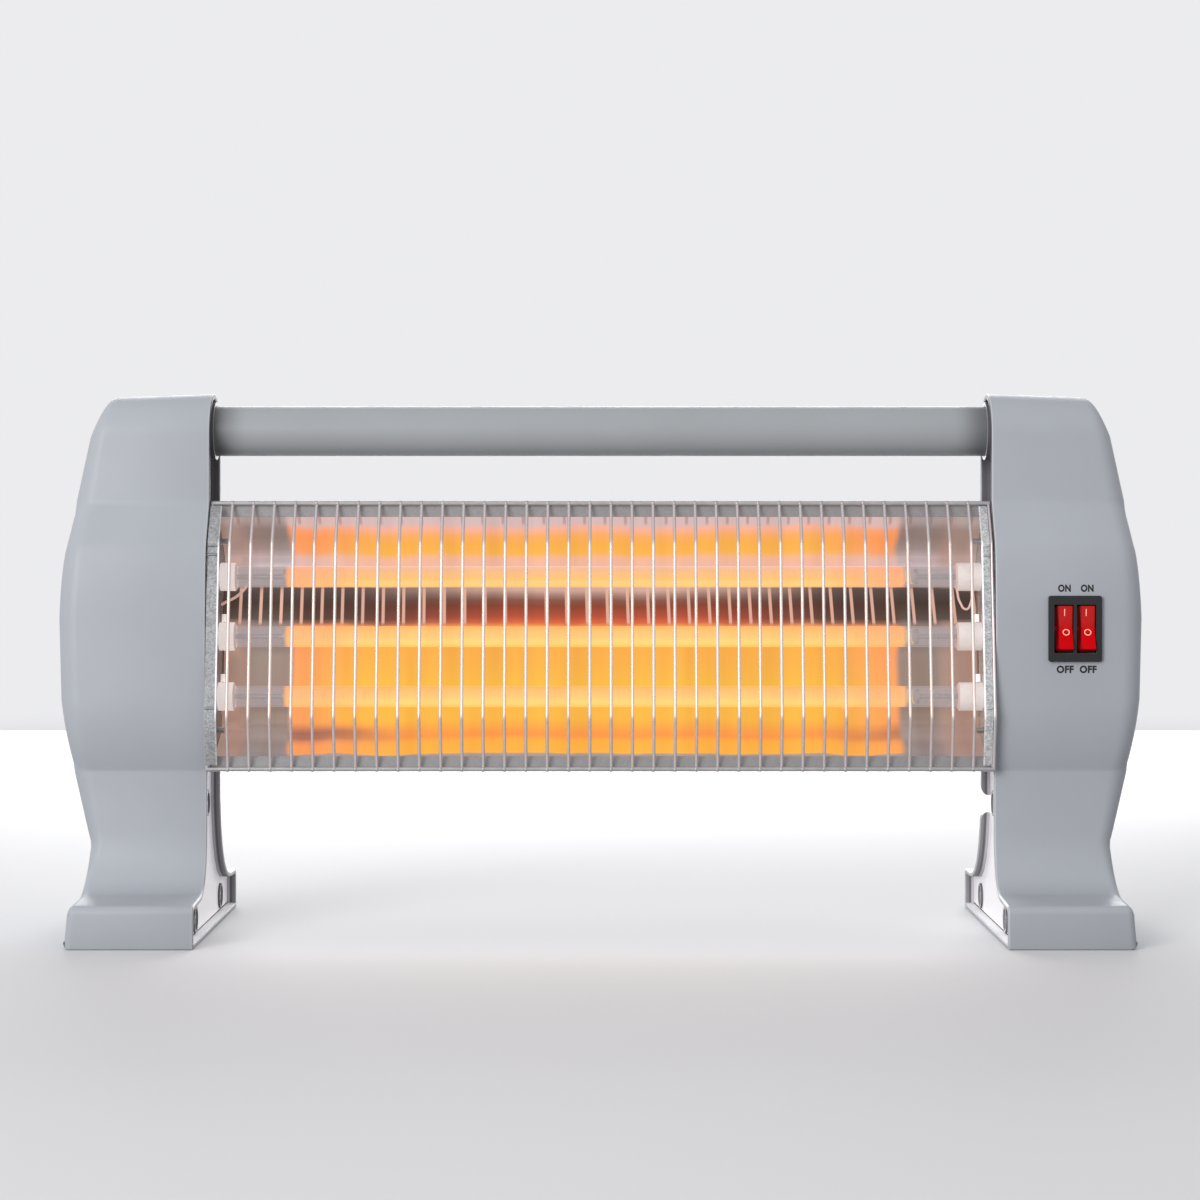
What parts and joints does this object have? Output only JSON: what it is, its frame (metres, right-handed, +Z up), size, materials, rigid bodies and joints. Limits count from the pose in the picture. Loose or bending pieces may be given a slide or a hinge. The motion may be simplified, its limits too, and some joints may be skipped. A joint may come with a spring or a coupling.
{
  "type": "electric bar heater",
  "caption": "Electric bar heater: quartz heating bars in a tilted reflector housing behind a wire guard, between two moulded end caps with feet, with a carrying handle.",
  "frame": {"origin": "on the floor, at the centre of the heater's outline seen from above", "axes": "+X towards the switch side, +Y towards the back, +Z up"},
  "size_m": [0.5116, 0.156, 0.2569],
  "materials": {
    "cap_plastic": "satin grey moulded plastic",
    "panel_plastic": "light grey moulded plastic",
    "handle_plastic": "satin grey",
    "plug_plastic": "dark moulded plastic",
    "galvanised_steel": "galvanised with a spangle",
    "polished_reflector": "polished",
    "bright_wire": "bright plated wire",
    "screw_steel": "zinc plated",
    "quartz": "clear quartz, lit from inside",
    "heating_wire": "glowing resistance wire",
    "white_ceramic": "unglazed white ceramic",
    "switch_black": "gloss black",
    "rocker_red": "gloss red",
    "blade_brass": "bright brass",
    "block_plastic": "ivory moulded plastic",
    "lead_brown": "brown insulation",
    "lead_white": "white heat-proof insulation",
    "lead_blue": "blue insulation",
    "tip_plastic": "dark moulded plastic"
  },
  "bodies": {
    "heater": {"left_end_shell": "cap_plastic", "right_end_shell": "cap_plastic", "left_inner_panel": "panel_plastic", "right_inner_panel": "panel_plastic", "left_panel_screws": "screw_steel", "right_panel_screws": "screw_steel", "handle_tube": "handle_plastic", "left_handle_plug": "plug_plastic", "right_handle_plug": "plug_plastic", "handle_screws": "screw_steel", "casing": "galvanised_steel", "reflector": "polished_reflector", "casing_rivets": "screw_steel", "left_end_plate": "galvanised_steel", "right_end_plate": "galvanised_steel", "left_housing_screws": "screw_steel", "right_housing_screws": "screw_steel", "guard_wires": "bright_wire", "guard_rods": "bright_wire", "quartz_tube_top": "quartz", "quartz_tube_middle": "quartz", "quartz_tube_bottom": "quartz", "heating_coil_top": "heating_wire", "heating_coil_middle": "heating_wire", "heating_coil_bottom": "heating_wire", "left_ceramic_top": "white_ceramic", "left_ceramic_middle": "white_ceramic", "left_ceramic_bottom": "white_ceramic", "right_ceramic_top": "white_ceramic", "right_ceramic_middle": "white_ceramic", "right_ceramic_bottom": "white_ceramic", "left_retaining_clips": "screw_steel", "right_retaining_clips": "screw_steel", "left_terminal_pins": "screw_steel", "right_terminal_pins": "screw_steel", "left_link_wire": "bright_wire", "right_link_wire": "bright_wire", "left_link_beads": "white_ceramic", "right_link_beads": "white_ceramic", "switch_body": "switch_black", "switch_terminals": "blade_brass", "terminal_block": "block_plastic", "terminal_block_screws": "screw_steel", "tip_switch_body": "tip_plastic", "supply_leads": "lead_brown", "element_leads": "lead_white", "return_lead": "lead_blue"},
    "left_rocker": {"left_rocker": "rocker_red"},
    "right_rocker": {"right_rocker": "rocker_red"},
    "tip_pendulum": {"tip_switch_pendulum": "screw_steel"}
  },
  "joints": [
    {"name": "left_rocker_tilt", "type": "hinge", "parent": "heater", "child": "left_rocker", "pos_m": [0.2174, -0.035, 0.1451], "axis": [1, 0, 0], "range_deg": [0, 18]},
    {"name": "right_rocker_tilt", "type": "hinge", "parent": "heater", "child": "right_rocker", "pos_m": [0.228, -0.035, 0.1451], "axis": [1, 0, 0], "range_deg": [0, 18]},
    {"name": "tip_pendulum_swing", "type": "hinge", "parent": "heater", "child": "tip_pendulum", "pos_m": [0.2065, -0.014, 0.046], "axis": [1, 0, 0], "range_deg": [-20, 20]}
  ]
}
